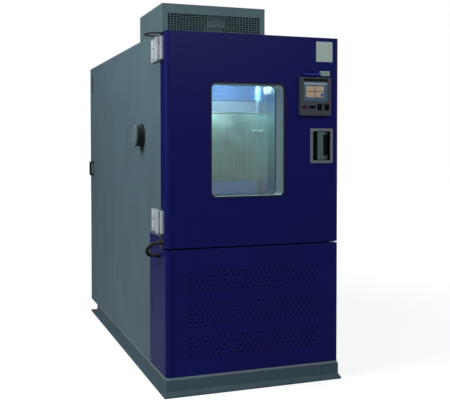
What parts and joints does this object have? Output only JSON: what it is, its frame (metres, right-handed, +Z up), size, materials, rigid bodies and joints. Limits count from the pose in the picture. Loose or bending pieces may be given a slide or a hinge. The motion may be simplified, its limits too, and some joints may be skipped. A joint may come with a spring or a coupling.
{
  "type": "environmental test chamber",
  "caption": "Upright insulated test cabinet with a windowed hinged door, a touch controller, a flush pull latch, a perforated lower fascia and a long machine section behind.",
  "frame": {"origin": "centre of the base's underside, on the floor", "axes": "+X to the right across the front, +Y from the front to the back, +Z up"},
  "size_m": [1.0285, 2.085, 1.992],
  "materials": {
    "navy_enamel": "gloss oven-baked enamel",
    "slate_enamel": "semi-gloss oven-baked enamel",
    "base_enamel": "satin enamel",
    "mesh_enamel": "satin enamel",
    "zinc_sheet": "galvanised sheet",
    "stainless": "brushed stainless sheet",
    "stainless_wire": "polished wire",
    "insulation": "rigid foam",
    "coil_metal": "finned block",
    "blue_motor": "machine enamel",
    "black_enamel": "satin enamel",
    "fan_metal": "pressed sheet",
    "grey_steel": "satin grey",
    "lever_zinc": "satin die casting",
    "pocket_zinc": "satin die casting",
    "latch_steel": "plated",
    "black_rubber": "matt",
    "grey_silicone": "soft, matt",
    "cap_plastic": "moulded",
    "panel_plastic": "moulded, fine texture",
    "screen": "lit panel",
    "red_lens": "tinted lens",
    "black_plastic": "moulded",
    "blue_plastic": "moulded",
    "lamp_glass": "frosted",
    "pane_glass": "clear",
    "cable_jacket": "matt",
    "gland_plastic": "moulded"
  },
  "bodies": {
    "cabinet": {"base_frame": "base_enamel", "deck": "base_enamel", "lower_fascia": "navy_enamel", "left_front_panel": "slate_enamel", "right_front_panel": "slate_enamel", "left_rear_panel": "slate_enamel", "right_rear_panel": "slate_enamel", "rear_panel": "slate_enamel", "top_panel": "slate_enamel", "partition": "zinc_sheet", "side_pulls": "black_plastic", "front_frame": "stainless", "foam_jacket": "insulation", "inner_liner": "stainless", "air_baffle": "stainless", "outlet_louvre": "stainless", "evaporator": "coil_metal", "heater": "stainless_wire", "fan_motor": "blue_motor", "top_box": "slate_enamel", "box_grille": "mesh_enamel", "terminal_box": "zinc_sheet", "wire_shelf": "stainless_wire", "interior_lamp": "lamp_glass", "sensor": "stainless_wire", "port_flange": "black_rubber", "hinge_body_leaves": "grey_steel", "striker": "stainless", "compressors": "black_enamel", "condenser": "coil_metal", "condenser_motor": "black_enamel", "electrical_panel": "zinc_sheet", "body_glands": "gland_plastic", "door_cable": "cable_jacket", "door_conduit": "cable_jacket"},
    "door": {"door_shell": "navy_enamel", "door_foam": "insulation", "door_liner": "stainless", "door_gasket": "grey_silicone", "window_tunnel": "stainless", "window_panes": "pane_glass", "window_gasket": "black_rubber", "hinge_door_leaves": "grey_steel", "handle_pocket": "pocket_zinc", "controller_housing": "panel_plastic", "touch_screen": "screen", "indicator_lamp": "red_lens", "stylus_holder": "latch_steel", "door_glands": "gland_plastic"},
    "handle": {"handle_lever": "lever_zinc"},
    "latch": {"latch_bolt": "latch_steel"},
    "power_switch": {"power_rocker": "black_plastic"},
    "light_switch": {"light_rocker": "black_plastic"},
    "dust_flap": {"usb_flap": "black_plastic"},
    "pen": {"stylus": "blue_plastic"},
    "port_closure": {"port_plug": "grey_silicone", "port_cap": "cap_plastic"},
    "catch": {"port_catch": "latch_steel"},
    "air_fan": {"circulation_fan": "fan_metal"},
    "cooling_fan": {"condenser_fan": "fan_metal"}
  },
  "joints": [
    {"name": "door_hinge", "type": "hinge", "parent": "cabinet", "child": "door", "pos_m": [-0.478, -0.918, 1.2], "axis": [0, 0, -1], "range_deg": [0, 120], "deforming": ["door_cable", "door_conduit"]},
    {"name": "handle_turn", "type": "hinge", "parent": "door", "child": "handle", "pos_m": [0.3985, -0.972, 1.203], "axis": [0, 0, 1], "range_deg": [0, 40], "stiffness_Nm_per_rad": 0.8},
    {"name": "latch_slide", "type": "slide", "parent": "door", "child": "latch", "axis": [-1, 0, 0], "range_m": [0, 0.008]},
    {"name": "power_tip", "type": "hinge", "parent": "door", "child": "power_switch", "pos_m": [0.3365, -1.018, 1.397], "axis": [-1, 0, 0], "range_deg": [0, 16]},
    {"name": "light_tip", "type": "hinge", "parent": "door", "child": "light_switch", "pos_m": [0.377, -1.018, 1.397], "axis": [-1, 0, 0], "range_deg": [0, 16]},
    {"name": "flap_swing", "type": "hinge", "parent": "door", "child": "dust_flap", "pos_m": [0.296, -1.0228, 1.4028], "axis": [-1, 0, 0], "range_deg": [0, 100]},
    {"name": "stylus_draw", "type": "slide", "parent": "door", "child": "pen", "axis": [-1, 0, 0], "range_m": [0, 0.04]},
    {"name": "port_draw", "type": "slide", "parent": "cabinet", "child": "port_closure", "axis": [-1, 0, 0], "range_m": [0, 0.15]},
    {"name": "catch_swing", "type": "hinge", "parent": "cabinet", "child": "catch", "pos_m": [-0.465, -0.536, 1.1847], "axis": [0, -1, 0], "range_deg": [0, 80]},
    {"name": "air_fan_spin", "type": "hinge", "parent": "cabinet", "child": "air_fan", "pos_m": [0, 0, 1.6], "axis": [0, 0, 1], "continuous": true},
    {"name": "cooling_fan_spin", "type": "hinge", "parent": "cabinet", "child": "cooling_fan", "pos_m": [0, -0.838, 0.37], "axis": [0, -1, 0], "continuous": true}
  ],
  "couplings": [
    {"joint": "latch_slide", "follows": "handle_turn", "m_per_rad": 0.01145}
  ]
}
